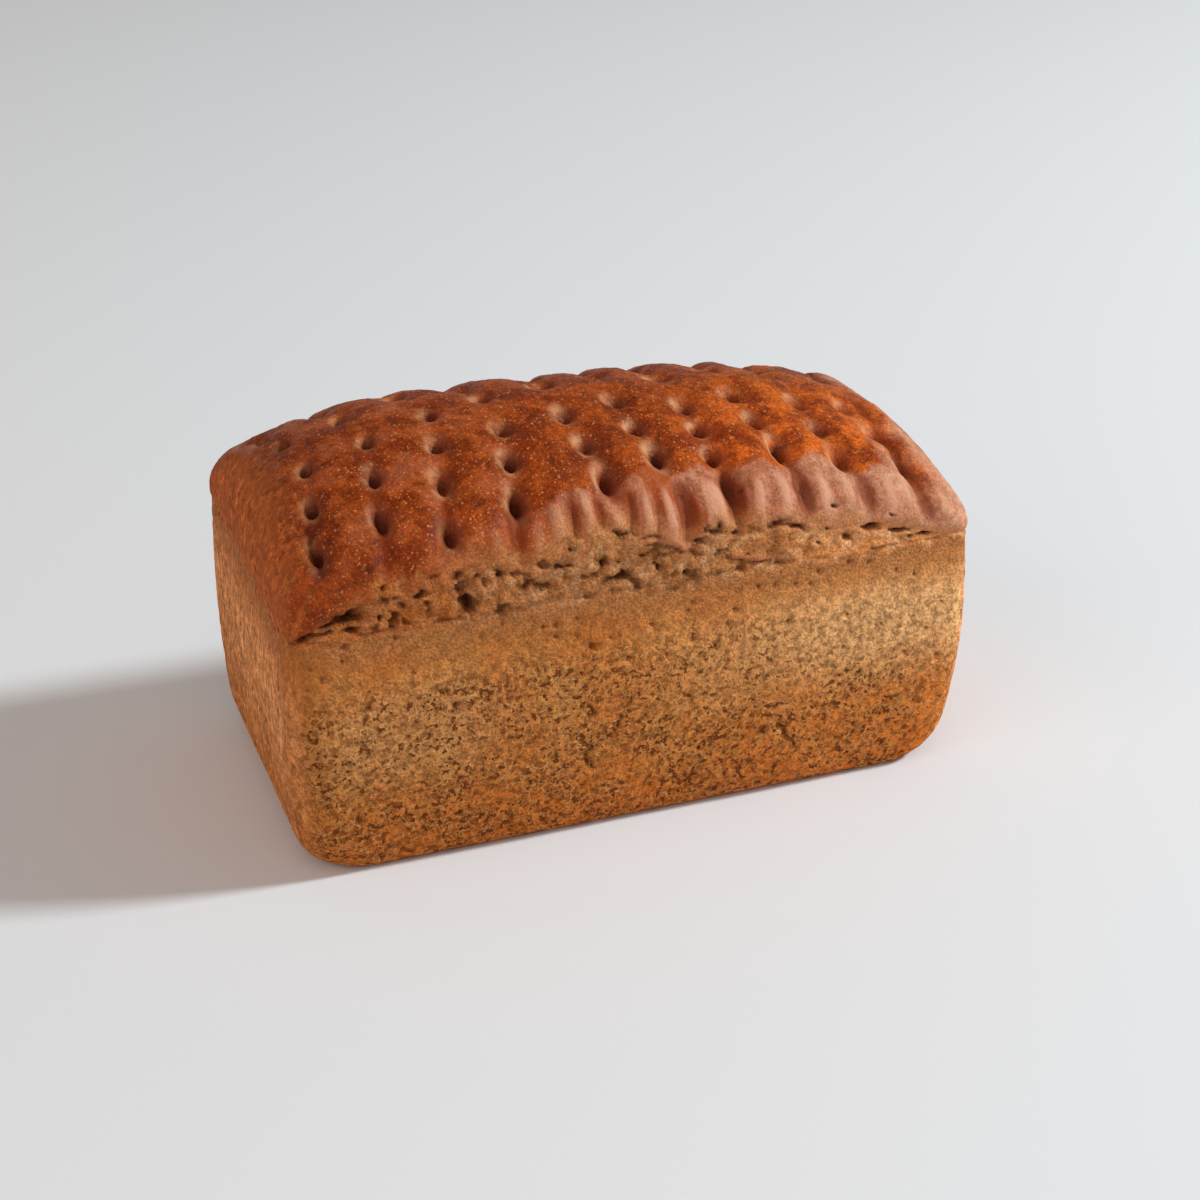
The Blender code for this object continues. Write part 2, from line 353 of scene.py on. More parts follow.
coarse = wave(plain, CRUMB_COARSE[0], 1.7, 3) * CRUMB_COARSE[1]
fine = wave(plain, CRUMB_FINE[0], 8.1, 2) * CRUMB_FINE[1]
caves = rise(wave(plain, CAVE_SIZE, 11.3, 2), 0.34, 0.55)
calm = 1 - 0.65 * rise(plain[:, 0], 20 * MM, 55 * MM)  # the right part tore less
relief += torn * (calm * (coarse - caves * CAVE_DEPTH) + fine - CRUMB_RECESS)
over_band = climb - band
hanging = rise(wave(plain, 7 * MM, 4.4), 0.05, 0.4)
hanging *= 1 - 0.7 * rise(plain[:, 0], 40 * MM, 65 * MM)
lip = side_face * rise(over_band, -0.3 * MM, 0.3 * MM) * np.exp(-((over_band / LIP_BREADTH) ** 2))
relief += lip * LIP_PROUD * hanging
crevice = side_face * hanging * np.exp(-(((over_band + 0.9 * MM) / (0.9 * MM)) ** 2))
relief -= crevice * 1.0 * MM
seam_open = rise(wave(plain, 10 * MM, 2.2), -0.1, 0.4)
seam = side_face * seam_open * np.exp(-(((climb - 0.9 * MM) / (0.8 * MM)) ** 2))
relief -= seam * SEAM_DEPTH
drop = lip * hanging * LIP_DROP
print("open crumb on", int((torn > 0.5).sum()), "vertices")

# %% Open the larger holes of the tear
# Each hole: along the loaf, up from the rim, half its width, half its height and its depth, in
# millimetres. The far side has the same kinds of holes in other places.
NEAR_HOLES = (
    (-110, 4.4, 3.2, 1.6, 2.6), (-101.5, 7.4, 3.2, 1.9, 3.0), (-95.5, 8.8, 5.0, 2.5, 3.6),
    (-102.5, 3.8, 1.8, 1.2, 2.0), (-95, 3.6, 1.8, 1.4, 2.2), (-86, 6, 1.4, 1.4, 1.5),
    (-81.5, 5.6, 1.7, 1.5, 2.0), (-84.8, 12.4, 1.1, 1.9, 1.5), (-79, 10, 1.1, 1.8, 1.4),
    (-73, 11.3, 2.8, 1.0, 2.2), (-61, 15, 1.4, 1.0, 1.5), (-58, 5.6, 2.6, 2.7, 3.4),
    (-55, 14, 1.1, 1.2, 1.8), (-48, 13.4, 1.2, 1.4, 1.8), (-39.5, 8.2, 2.0, 2.4, 1.3),
    (-32, 6, 1.2, 1.2, 1.8), (-27.5, 12.2, 4.0, 1.0, 1.6), (-24, 17.5, 1.6, 1.0, 1.4),
    (-14.5, 11, 1.8, 1.5, 2.2), (-9, 5.4, 4.6, 1.4, 2.0), (-1, 10.8, 1.1, 1.0, 1.6),
    (4.4, 7.2, 1.3, 1.0, 1.6), (-5, 19.4, 1.9, 0.8, 1.6), (17, 11.4, 1.7, 1.4, 2.6),
    (21, 17.4, 0.9, 1.0, 1.5), (25, 16.8, 1.0, 2.4, 2.2), (31.6, 14.8, 2.3, 1.6, 2.6),
    (44, 15.6, 1.0, 0.8, 1.4), (46, 16.6, 3.0, 0.9, 2.2), (53, 14.4, 2.6, 1.1, 2.4),
    (60, 7, 1.1, 0.9, 1.5), (65, 20.5, 1.3, 0.8, 2.0), (70, 8.0, 2.0, 1.5, 2.6),
    (78.5, 11.2, 3.4, 1.3, 2.8), (85, 15.2, 1.2, 0.7, 1.4), (88, 8.6, 3.6, 1.2, 2.8),
    (98, 4.4, 2.8, 1.1, 2.4), (63, 12, 1.2, 0.8, 1.5), (92, 4, 1.4, 0.9, 1.6),
)
FAR_SHIFT = 6  # how far along the mirrored holes of the far side are moved, in millimetres


def tear_hole(points, up, hole):
    """1 in the middle of a hole of the tear, falling to 0 past its uneven edge."""
    along, height, wide, tall, _ = np.array(hole) * MM
    far_out = np.hypot((points[:, 0] - along) / wide, (up - height) / tall)
    return np.exp(-(far_out**3))


wobble = np.stack([wave(plain, 3.5 * MM, s, 2) for s in (21.0, 22.0)], axis=1) * 1.8 * MM
uneven_place = plain + np.stack([wobble[:, 0], np.zeros(len(plain)), np.zeros(len(plain))], axis=1)
opened = np.zeros(len(plain))
open_depth = np.zeros(len(plain))
for hole in NEAR_HOLES:
    mirrored = (FAR_SHIFT - hole[0], hole[1] * 0.9, hole[3] * 1.5, hole[2] * 0.7, hole[4])
    for on_side, here in (((plain[:, 1] < 0), hole), ((plain[:, 1] > 0), mirrored)):
        share = tear_hole(uneven_place, climb + wobble[:, 1], here) * side_face * on_side
        opened = np.maximum(opened, share)
        open_depth = np.maximum(open_depth, share * here[4] * MM)
relief -= open_depth
print("holes in the tear:", 2 * len(NEAR_HOLES))

# %% Curl small flaps of crust over the tear
# Each flap is a line, as (along, up from the rim) in millimetres
NEAR_FLAPS = (((31.5, 6.2), (36, 4.4), (41, 4.0)), ((2, 16.4), (9, 15), (13, 12.2), (18, 11.2)))
FAR_FLAPS = (((-38, 7), (-33, 5.4), (-28, 4.8)), ((12, 15), (20, 13.5), (30, 10)), ((60, 6), (66, 5)))
FLAP_WIDTH, FLAP_PROUD = 1.0 * MM, 0.9 * MM


def closeness(flat, line, width):
    """1 on a line drawn on the loaf's side, falling to 0 beside it. Points are along and up."""
    closest = np.full(len(flat), 1.0)
    for start, end in zip(np.array(line[:-1]) * MM, np.array(line[1:]) * MM):
        way = end - start
        share = np.clip((flat - start) @ way / (way @ way), 0, 1)
        closest = np.minimum(closest, np.hypot(*(flat - start - share[:, None] * way).T))
    return np.exp(-((closest / width) ** 2))


flap = np.zeros(len(plain))
under_flap = np.zeros(len(plain))
for side, lines in ((-1, NEAR_FLAPS), (1, FAR_FLAPS)):
    on_side = (np.sign(plain[:, 1]) == side) * side_face
    flat = np.stack([uneven_place[:, 0], climb + wobble[:, 1] * 0.5], axis=1)
    for line in lines:
        flap = np.maximum(flap, closeness(flat, line, FLAP_WIDTH) * on_side)
        below = flat + np.array((0, 1.6 * MM))
        under_flap = np.maximum(under_flap, closeness(below, line, FLAP_WIDTH * 0.8) * on_side)
relief += flap * FLAP_PROUD - under_flap * 0.9 * MM
print("flaps:", len(NEAR_FLAPS) + len(FAR_FLAPS))

# %% [markdown]
# ## The flutes
# Between the outer docking holes and the band, the stretched skin folded into shallow grooves that
# run straight down the shoulder. Each groove is a soft valley, with the skin a little full on both
# sides of it.

# %% Press the flutes down the shoulders
# Where each groove runs, how wide and how deep it is, all in millimetres
NEAR_FLUTES = (
    (-41, 2.4, 0.8), (-22, 2.2, 1.5), (-13, 2.0, 1.4), (-3, 2.0, 1.3), (5, 2.0, 0.9), (15, 2.8, 1.6),
    (33, 2.6, 1.5), (43, 2.0, 0.6), (55, 2.8, 1.5), (67, 2.0, 0.6), (78, 2.6, 1.3), (98, 2.4, 1.0),
)
FAR_FLUTES = (
    (-92, 2.6, 0.7), (-71, 2.4, 0.8), (-58, 2.8, 1.2), (-44, 2.2, 0.8), (-31, 3.0, 1.3),
    (-16, 2.4, 0.9), (-5, 2.6, 1.2), (12, 2.8, 1.3), (26, 2.2, 0.8), (43, 3.0, 1.2), (60, 2.4, 0.9),
    (84, 2.4, 0.6),
)
FLUTE_FADE = 12 * MM
FLUTE_GAIN = 1.7


def flutes(points, rows):
    sway = wave(points, 16 * MM, 7.7) * 1.6 * MM
    deep = np.zeros(len(points))
    for place, wide, depth in rows:
        gap = (points[:, 0] + sway - place * MM) / (wide * MM)
        pushed_up = 0.35 * np.exp(-((np.abs(gap) - 2.6) ** 2))
        deep += depth * MM * (np.exp(-np.abs(gap) ** 1.4) - pushed_up)
    return deep


groove = np.where(plain[:, 1] < 0, flutes(plain, NEAR_FLUTES), flutes(plain, FAR_FLUTES))
along_flute = rise(over_band, -2 * MM, 2 * MM) * (1 - rise(climb, 26 * MM, 26 * MM + FLUTE_FADE))
on_right = rise(plain[:, 0], 35 * MM, 60 * MM)
along_flute *= 1 - on_right * (1 - rise(over_band, 2 * MM, 14 * MM)) * 0.8
groove *= FLUTE_GAIN * along_flute * rise(climb, 2 * MM, 5 * MM) * (~on_wall)
relief -= groove
print("flutes:", len(NEAR_FLUTES), "near and", len(FAR_FLUTES), "far, up to",
      round(float(groove.max()) / MM, 1), "mm deep")

# %% [markdown]
# ## The docking holes
# A stick is pressed into the raised dough, in rows across the loaf, so that steam gets out and
# the top doesn't burst. Each hole ends up as a soft funnel with a narrow well in it: a slit at the
# left of the loaf, a wide dimple at the right. The crust between four holes puffs up like a
# cushion. The columns stand where the measured solid has them.

# %% Find where each hole goes in
# Each column: its place along the crown, its place along the shoulder, its first hole on the near
# side of the crown, and the spacing from there on, in millimetres
DOCK_COLUMNS = (
    (-94, -103, -9, 19.0), (-74, -82, -6, 19.0), (-52, -62, 1, 18.5), (-30, -39, -15, 17.0),
    (-11, -7, -11, 17.5), (10, 13, -3, 17.5), (32, 32, -10, 14.0), (51, 56, -4, 17.0),
    (73, 75, -9, 17.0), (90, 99, -9, 17.5),
)
DOCK_CROWN_GAP, DOCK_REACH = 26 * MM, 54 * MM


def dome_facing(along, across):
    nudge = 0.004
    slope_x = dome_height(along + nudge, across) - dome_height(along - nudge, across)
    slope_y = dome_height(along, across + nudge) - dome_height(along, across - nudge)
    return Vector((-slope_x / (nudge * RIM_LENGTH), -slope_y / (nudge * RIM_WIDTH), 1)).normalized()


docks = []


def add_dock(x, walk, outer):
    """Notes where a hole goes in, which way it goes and whether it is the last of its column."""
    across = math.copysign(np.interp(abs(walk), WALK, SHARE_OUT), walk)
    along = x / (RIM_LENGTH / 2)
    place = Vector((x, across * RIM_WIDTH / 2, dome_height(along, across)))
    into = -(dome_facing(along, across) + Vector((0, 0, 1))).normalized()
    docks.append((place, into, outer))


for crown, shoulder, first, spacing in np.array(DOCK_COLUMNS) * MM:
    near = np.arange(first, -DOCK_REACH, -spacing)
    far = np.arange(first + DOCK_CROWN_GAP, DOCK_REACH, spacing)
    for walk in [*near, *far]:
        x = crown + (shoulder - crown) * abs(walk) / DOCK_REACH
        add_dock(x, walk, abs(walk) + spacing > DOCK_REACH)
add_dock(-61 * MM, -56.5 * MM, False)  # one small hole more, low on the near shoulder
print("docking holes:", len(docks))

# %% Press the holes
DOCK_FUNNEL = (3.5 * MM, 4.6 * MM, 1.9)
DOCK_CUSHION = (9.5 * MM, 1.2 * MM, 2.0)
DOCK_WELL = (0.5 * MM, 2.3 * MM)
DOCK_DEPTH = 3.4 * MM
FUNNEL_STRETCH, OUTER_STRETCH = 1.3, 2.0
CUSHION_LIFT = 0.9 * MM
# How far out from the middle of a hole each tint of its skin lies, and how broad it is: the pale
# ring, and the painted shade on the wall that faces away from the lamp
RING, SHADE_SIDE_REACH = (3.2 * MM, 1.4 * MM), (1.8 * MM, 1.9 * MM)
# How far the painted shade in the well of a hole reaches
DARK_REACH = (0.8 * MM, 3.2 * MM)
LEFT_SLIT = 0.72  # the width of a hole at the left end, where one at the middle counts as 1.06

push = np.zeros_like(plain)
well_shade_share = np.zeros(len(plain))
ring_share = np.zeros(len(plain))
shade_side_share = np.zeros(len(plain))
dents = np.zeros(len(plain))
for place, into, outer in docks:
    offset = plain - np.array(place)
    close = np.flatnonzero((np.abs(offset) < 30 * MM).all(axis=1) & ~on_wall)
    near_offset = offset[close]
    down_slope = Vector((0, math.copysign(1, place.y), 0))
    down_slope = np.array((down_slope - into * down_slope.dot(into)).normalized())
    deep_way = near_offset @ np.array(into)
    slope_way = near_offset @ down_slope
    sideways = near_offset - np.outer(deep_way, into) - np.outer(slope_way, down_slope)
    wideness = float(LEFT_SLIT + 0.34 * rise(place.x, -95 * MM, 15 * MM))
    stretch = FUNNEL_STRETCH + 0.3 * noise.noise(place / (3 * MM)) + 1.1 * (1 - wideness)
    if outer:
        stretch = OUTER_STRETCH
    round_about = np.sqrt((sideways**2).sum(axis=1) + (slope_way / stretch) ** 2)
    luck = noise.noise(place / (4 * MM) + Vector((9, 9, 9)))
    open_share = rise(luck - place.x / (260 * MM), -0.35, 0.3)
    well = 1 - rise(round_about, *DOCK_WELL)
    push[close] += np.outer(well * DOCK_DEPTH * open_share, into)
    # Painted shade in the well of each hole, stronger where the hole is open
    dark_share = (1 - rise(round_about, *DARK_REACH)) * (0.45 + 0.55 * open_share)
    well_shade_share[close] = np.maximum(well_shade_share[close], dark_share)
    highlight_side = 0.55 - 0.45 * np.clip(near_offset[:, 0] / (3 * MM), -1, 1)  # a painted highlight on the left of the rim, which faces the lamp
    ring = np.exp(-(((round_about - RING[0] * wideness) / RING[1]) ** 2)) * highlight_side * wideness
    ring_share[close] = np.maximum(ring_share[close], ring)
    # Painted shade on the right wall of the hole, the one that faces away from the lamp
    shade_side = np.exp(-(((round_about - SHADE_SIDE_REACH[0]) / SHADE_SIDE_REACH[1]) ** 2))
    shade_side *= rise(near_offset[:, 0], -0.5 * MM, 2.5 * MM)
    shade_side_share[close] = np.maximum(shade_side_share[close], shade_side)
    full = 1 + 0.5 * noise.noise(place / (6 * MM))
    for width, deep, edge_power in (DOCK_FUNNEL, DOCK_CUSHION):
        reach = round_about / (width * wideness)
        dents[close] += full * deep * wideness * np.exp(-(reach**edge_power))
relief -= dents
relief += CUSHION_LIFT * rise(climb, 8 * MM, 26 * MM)
print("deepest push:", round(float(np.abs(push).max()) / MM, 1), "mm")

# %% Draw a furrow through each column of holes
FURROW = (2.6 * MM, 1.7 * MM)
PILLOW = 0.9 * MM

furrows = np.zeros(len(plain))
sway = wave(plain, 18 * MM, 5.5) * 1.5 * MM
for crown, shoulder, _, _ in np.array(DOCK_COLUMNS) * MM:
    line = crown + (shoulder - crown) * walked / DOCK_REACH
    gap = (plain[:, 0] + sway - line) / FURROW[0]
    furrows += FURROW[1] * np.exp(-np.abs(gap) ** 1.4)
furrows *= rise(over_band, 0, 6 * MM) * rise(walked, 30 * MM, 50 * MM) * ~on_wall
furrows *= rise(wave(plain, 15 * MM, 6.6), -0.6, 0.1)
furrows *= 1 - 0.8 * rise(np.abs(plain[:, 0]), 92 * MM, 104 * MM)
between = rise(over_band, 0, 5 * MM) * rise(walked, 42 * MM, 52 * MM) * ~on_wall
relief += PILLOW * between * (0.5 + 0.5 * rise(plain[:, 0], -90 * MM, -20 * MM)) - furrows
print("furrows:", len(DOCK_COLUMNS))

# %% Add the creases and blisters of the crust
# Creases are lines as (along, across) in millimetres. A blister that broke is given like a hole
# of the tear.
CREASES = (
    ((-101.5, -34), (-102.2, -44), (-101, -51)), ((-99, 30), (-101, 40)),
    ((96, 22), (98, 34), (97, 42)),
)
BLISTERS = ((-49.8, 36.5, 2.3, 0.9, 1.8), (36, 30, 1.0, 0.9, 1.2))

scars = np.zeros(len(plain))
for line in CREASES:
    crease = closeness(uneven_place[:, :2], line, 1.5 * MM) * ~on_wall
    relief -= crease * 1.3 * MM
    scars = np.maximum(scars, crease * 0.7)
for blister in BLISTERS:
    for side in (-1, 1):
        place = uneven_place * np.array((-side, 1, 1))
        broken = tear_hole(place, climb + wobble[:, 1] * 0.5, blister)
        broken *= (np.sign(plain[:, 1]) == side) * ~on_wall
        relief -= broken * blister[4] * MM
        scars = np.maximum(scars, broken)
print("creases:", len(CREASES), "and blisters:", 2 * len(BLISTERS))

# %% [markdown]
# ## Open pores and cracks in the walls
# Against the tin the crumb set with its bubbles cut open, so the walls are full of small pores.
# Pores under two millimetres are left to the material. The larger ones and the cracks are real
# dents, pressed in at seeded places and along a few drawn lines.

# %% Scatter the larger pores
PORE_COUNT = 420
PORE_SIZE = (0.9 * MM, 1.5 * MM)
PORE_DEPTH = (0.5 * MM, 1.2 * MM)
BIG_PORES = (
    (-18.5, 70.2, 2.0), (47.5, 28.1, 1.7), (50.6, 22.4, 1.5), (54.5, 17.6, 1.6), (-64, 58, 1.6),
)

chance = np.random.default_rng(7)
tree = kdtree.KDTree(len(plain))
for index, point in enumerate(plain):
    tree.insert(point, index)
tree.balance()
pits = np.zeros(len(plain))
# The share of each dent, which the material darkens with painted shade
pit_share = np.zeros(len(plain))


def press_pore(centre, size, depth):
    """Dents the wall round a point, deepest in the middle."""
    for place, index, distance in tree.find_range(centre, size * 1.5):
        share = (1 - (distance / (size * 1.5)) ** 2) ** 2
        pits[index] = max(pits[index], depth * share)
        pit_share[index] = max(pit_share[index], share)


wall_indices = np.flatnonzero(on_wall & ~on_base & (plain[:, 2] > 2 * MM) & (plain[:, 2] < 85 * MM))
for index in chance.choice(wall_indices, PORE_COUNT, replace=False):
    size = chance.uniform(*PORE_SIZE)
    press_pore(plain[index] + chance.normal(0, 0.3 * MM, 3), size, chance.uniform(*PORE_DEPTH))
for x, z, size in BIG_PORES:
    press_pore(Vector((x * MM, -0.0615, z * MM)), size * MM, 1.8 * MM)
print("pores pressed:", PORE_COUNT + len(BIG_PORES))

# %% Draw the cracks
# Lines on the walls as (along, up) in millimetres, first on the near side, then on the far side
NEAR_CRACKS = (
    ((-22.6, 36.4), (-19.8, 34), (-21.4, 30), (-19.6, 27), (-17.8, 25.4)),
    ((-4.9, 50), (-8.6, 44.5), (-9.4, 40), (-13.4, 36.8), (-17, 36)),
    ((-20.6, 51), (-18.6, 48.6), (-19.8, 46)), ((12.4, 47.7), (16, 45.4), (19, 46.2)),
    ((22, 44.6), (25.4, 46.2)),
    ((47.5, 28), (50.6, 22.4), (54.5, 17.6)),
)
FAR_CRACKS = (
    ((31, 60), (29, 52), (30, 46)), ((-44, 38), (-39, 34), (-36, 27)), ((70, 30), (62, 28), (58, 24)),
    ((-8, 22), (-7, 15), (-10, 10)),
)
CRACK_WIDTH, CRACK_DEPTH = 0.8 * MM, 1.1 * MM


wandering = plain + np.stack([wave(plain, 5 * MM, s) for s in (1.0, 2.0, 3.0)], axis=1) * 1.1 * MM
for side, lines in ((-1, NEAR_CRACKS), (1, FAR_CRACKS)):
    here = (np.sign(plain[:, 1]) == side) & on_wall & (np.abs(facing[:, 1]) > 0.8)
    for line in lines:
        share = closeness(wandering[:, [0, 2]], line, CRACK_WIDTH) * here
        pits = np.maximum(pits, share * CRACK_DEPTH)
        pit_share = np.maximum(pit_share, share)
print("cracks drawn:", len(NEAR_CRACKS) + len(FAR_CRACKS))

# %% Give the loaf its relief
BAKED_GRAIN = 0.2 * MM

relief -= pits
relief += wave(plain, 2.4 * MM, 12.5, 2) * BAKED_GRAIN * ~on_base
shaped = plain + facing * relief[:, None] + push
shaped[:, 2] -= drop
shaped[on_base, 2] = 0
shaped[:, 2] = np.maximum(shaped[:, 2], 0)
write_points(loaf.data, shaped)
loaf.data.shade_smooth()
print("loaf:", [round(float(v) / MM, 1) for v in np.ptp(shaped, axis=0)], "mm")

# %% Soften the four corners of the crust
CORNER_BAND = 0.07  # how far from the diagonal of the square the softening reaches
SOFTER, ROUNDS = 0.5, 24

off_diagonal = np.abs(np.abs(around_x) - np.abs(around_y))
soft_share = (1 - rise(off_diagonal, 0, CORNER_BAND)) * rise(climb, 0.5 * MM, 4 * MM)
soft_share *= rise(edge, 0.5, 0.9)
corners = loaf.vertex_groups.new(name="corners")
for index in np.flatnonzero(soft_share > 0.02):
    corners.add([int(index)], float(soft_share[index]), "REPLACE")
softening = loaf.modifiers.new("soft corners", "SMOOTH")
softening.factor, softening.iterations = SOFTER, ROUNDS
softening.vertex_group = "corners"
bpy.ops.object.modifier_apply(modifier=softening.name)
print("softened:", int((soft_share > 0.02).sum()), "vertices")

# %% [markdown]
# ## Where each finish goes
# The shell of one loaf shows four finishes: the wall that lay against the tin, the glossy brown
# top, the dull pinkish skin of the stretched shoulders, whose pink is partly its own and partly a
# painted sheen, and the bare crumb of the tear. Each gets a mask, written on the mesh as an
# attribute, so that the material can blend from one to another. More masks say where shade is
# painted: in the holes of the tear and under its lip and flaps, in the wells of the docking holes
# and in creases, on the wall of each hole that faces away from the lamp, in the dents of pores and
# cracks, and in the grooves, with a painted highlight on the ridges beside them.

# %% Write the masks on the mesh
# The scalloped upper edge of the pale shoulders, as (along, walked from the crown) in millimetres
NEAR_EDGE = (
    (-115, 60), (-55, 57), (-44, 54), (-33, 54), (-25, 51), (-19, 48), (-14, 51), (-8.6, 45.5),
    (-6, 50), (0, 46.5), (9.5, 42), (15, 48), (25, 43), (31, 49), (36, 46), (46, 43.5), (50, 49),
    (57, 45), (65, 41.5), (72, 47), (76, 51), (80, 50), (88, 47), (95, 51), (98, 57), (108, 60),
    (115, 62),
)
FAR_EDGE = (
    (-115, 62), (-98, 56), (-90, 48), (-80, 47), (-74, 51), (-66, 45), (-56, 44), (-51, 50),
    (-42, 44), (-31, 46), (-28, 51), (-18, 44), (-9, 50), (0, 44), (11, 50), (22, 45), (31, 51),
    (42, 46), (53, 53), (70, 55), (115, 60),
)

near_walk, far_walk = (np.interp(plain[:, 0] / MM, *np.array(e).T) for e in (NEAR_EDGE, FAR_EDGE))
edge_walked = np.where(plain[:, 1] < 0, near_walk, far_walk)
past_edge = walked - edge_walked * MM + wave(plain, 5 * MM, 14, 2) * 1.4 * MM
shoulder = rise(past_edge, -1.4 * MM, 1.8 * MM)
left_fade = rise(plain[:, 0] + wave(plain, 9 * MM, 15) * 16 * MM, -58 * MM, -6 * MM)
shoulder *= np.where(plain[:, 1] < 0, left_fade, (1 - rise(plain[:, 0], 40 * MM, 85 * MM)))
shoulder *= rise(np.abs(facing[:, 1]), 0.05, 0.3)
right_end = rise(plain[:, 0] + wave(plain, 12 * MM, 23, 2) * 14 * MM, 92 * MM, 108 * MM)
right_end *= rise(walked, 50 * MM, 60 * MM)
shoulder = np.maximum(shoulder, 0.75 * right_end) * ~on_wall
end_share = rise(np.abs(facing[:, 0]), 0.4, 0.8)
spread = 1 + 3.5 * end_share  # at the ends the crust runs out softly into the wall
crust_edge = climb + wave(plain, 6 * MM, 16, 3) * (2.0 + 3.5 * end_share) * MM
crust = rise(crust_edge, -0.8 * MM * spread, 1.2 * MM * spread)
ragged = up_band + wave(plain, 4 * MM, 17, 2) * 0.5
ragged_seam = climb + wave(plain, 7 * MM, 19, 2) * 3 * MM
bare = side_face * rise(ragged_seam, -2.5 * MM, 2.5 * MM) * (1 - rise(ragged, 0.5, 1.15))
over_tear = np.maximum(rise(ragged, 0.5, 1.15), 1 - bare)
crust = np.where(side_face > 0.5, crust * over_tear, crust)
fading = side_face * (1 - rise(over_band + wave(plain, 6 * MM, 18, 2) * 3 * MM, -1 * MM, 9 * MM))
deep_crumb = rise(-(coarse + fine), 0.5 * MM, 1.4 * MM)
# Painted shade in the caves and holes of the tear, in the crevice under its lip, under the flaps and
# in the seam
hollow_shade = np.clip(torn * calm * (caves * 0.6 + 0.5 * deep_crumb) + crevice * 0.6 + seam * 0.5, 0, 1)
hollow_shade = np.maximum(hollow_shade, np.maximum(opened, under_flap * 0.7)) * (1 - flap)
corner = np.hypot((plain[:, 0] + 108 * MM) / (26 * MM), (climb - 10 * MM) / (26 * MM))
charred = np.clip(np.exp(-corner**2) * crust, 0, 1)
# The depth of the grooves and furrows, for painted shade in them and a painted highlight on the
# ridges beside them
valley = np.clip((groove + furrows) / (1.8 * MM), -1, 1)
print("bare crumb shows on", int((bare > 0.5).sum()), "vertices")


def write_mask(mesh, name, values):
    mask = mesh.attributes.new(name, "FLOAT", "POINT")
    mask.data.foreach_set("value", np.asarray(values, np.float32))


for name, values in (
    ("crust", crust), ("shoulder", shoulder), ("bare", bare), ("hollow_shade", hollow_shade),
    ("pit", pit_share), ("well", np.maximum(well_shade_share, scars)), ("ring", ring_share),
    ("charred", charred),
    ("valley", valley), ("fading", fading), ("flap", flap), ("end", end_share), ("shade_side", shade_side_share),
):
    write_mask(loaf.data, name, values)
    print("mask", name, "covers", int((np.asarray(values) > 0.5).sum()), "vertices")

# %% [markdown]
# ## Helpers for the finishes
# A finish in Blender is a tree of small nodes. Patterns are made from noise and from cells, at
# their true size in metres on the loaf's own coordinates, so that they stay put from every side.
# These helpers each add one node and give back what comes out of it.

# %% Node helpers


def new_finish(name):
    finish = bpy.data.materials.new(name)
    finish.use_nodes = True
    return finish, finish.node_tree, finish.node_tree.nodes["Principled BSDF"]


def join(tree, value, socket):
    """Links an output to a socket, or sets the socket to a plain number or colour."""
    if isinstance(value, bpy.types.NodeSocket):
        tree.links.new(value, socket)
    else:
        socket.default_value = value


def place_on_loaf(tree, stretch=(1, 1, 1), shift=(0, 0, 0)):
    """The loaf's own coordinates in metres, stretched and shifted where a pattern asks for it."""
    where = tree.nodes.new("ShaderNodeTexCoord").outputs["Object"]
    mapping = tree.nodes.new("ShaderNodeMapping")
    join(tree, where, mapping.inputs["Vector"])
    mapping.inputs["Scale"].default_value = stretch
    mapping.inputs["Location"].default_value = shift
    return mapping.outputs["Vector"]


def clouds(tree, where, size, detail=3.0, rough=0.55, colour=False):
    """Cloudy noise, with blotches of about this size in metres."""
    node = tree.nodes.new("ShaderNodeTexNoise")
    join(tree, where, node.inputs["Vector"])
    node.inputs["Scale"].default_value = 1 / size
    node.inputs["Detail"].default_value = detail
    node.inputs["Roughness"].default_value = rough
    return node.outputs["Color" if colour else "Fac"]


def maths(tree, operation, first, second=0.0, third=0.0):
    node = tree.nodes.new("ShaderNodeMath")
    node.operation = operation
    for socket, value in zip(node.inputs, (first, second, third)):
        join(tree, value, socket)
    return node.outputs["Value"]


def span(tree, value, low, high, start=0.0, end=1.0):
    """start where value is low, end where it is high, smooth between."""
    node = tree.nodes.new("ShaderNodeMapRange")
    node.interpolation_type = "SMOOTHSTEP"
    for name, given in (
        ("Value", value), ("From Min", low), ("From Max", high), ("To Min", start), ("To Max", end),
    ):
        join(tree, given, node.inputs[name])
    return node.outputs["Result"]


def tint(tree, share, under, over, how="MIX"):
    """One colour over another, by a share from 0 to 1."""
    node = tree.nodes.new("ShaderNodeMix")
    node.data_type = "RGBA"
    node.blend_type = how
    for number, given in ((0, share), (6, under), (7, over)):
        join(tree, given, node.inputs[number])
    return node.outputs[2]


def mask(tree, name):
    node = tree.nodes.new("ShaderNodeAttribute")
    node.attribute_name = name
    return node.outputs["Fac"]


def holes(tree, where, size, reach, uneven=0.6, warp=0.35):
    """Round-ish holes, one to a cell of this size: 1 inside a hole and 0 between holes."""
    shake = tree.nodes.new("ShaderNodeVectorMath")
    shake.operation = "MULTIPLY_ADD"
    join(tree, clouds(tree, where, size * 0.6, 1.0, 0.5, colour=True), shake.inputs[0])
    shake.inputs[1].default_value = (warp * size * 2,) * 3
    join(tree, where, shake.inputs[2])
    node = tree.nodes.new("ShaderNodeTexVoronoi")
    join(tree, shake.outputs["Vector"], node.inputs["Vector"])
    node.inputs["Scale"].default_value = 1 / size
    pick = maths(tree, "MULTIPLY", node.outputs["Color"], 1.0)
    limit = maths(tree, "MULTIPLY_ADD", pick, reach * uneven, reach * (1 - uneven))
    inside = maths(tree, "SUBTRACT", limit, node.outputs["Distance"])
    return span(tree, inside, -0.06, 0.10)


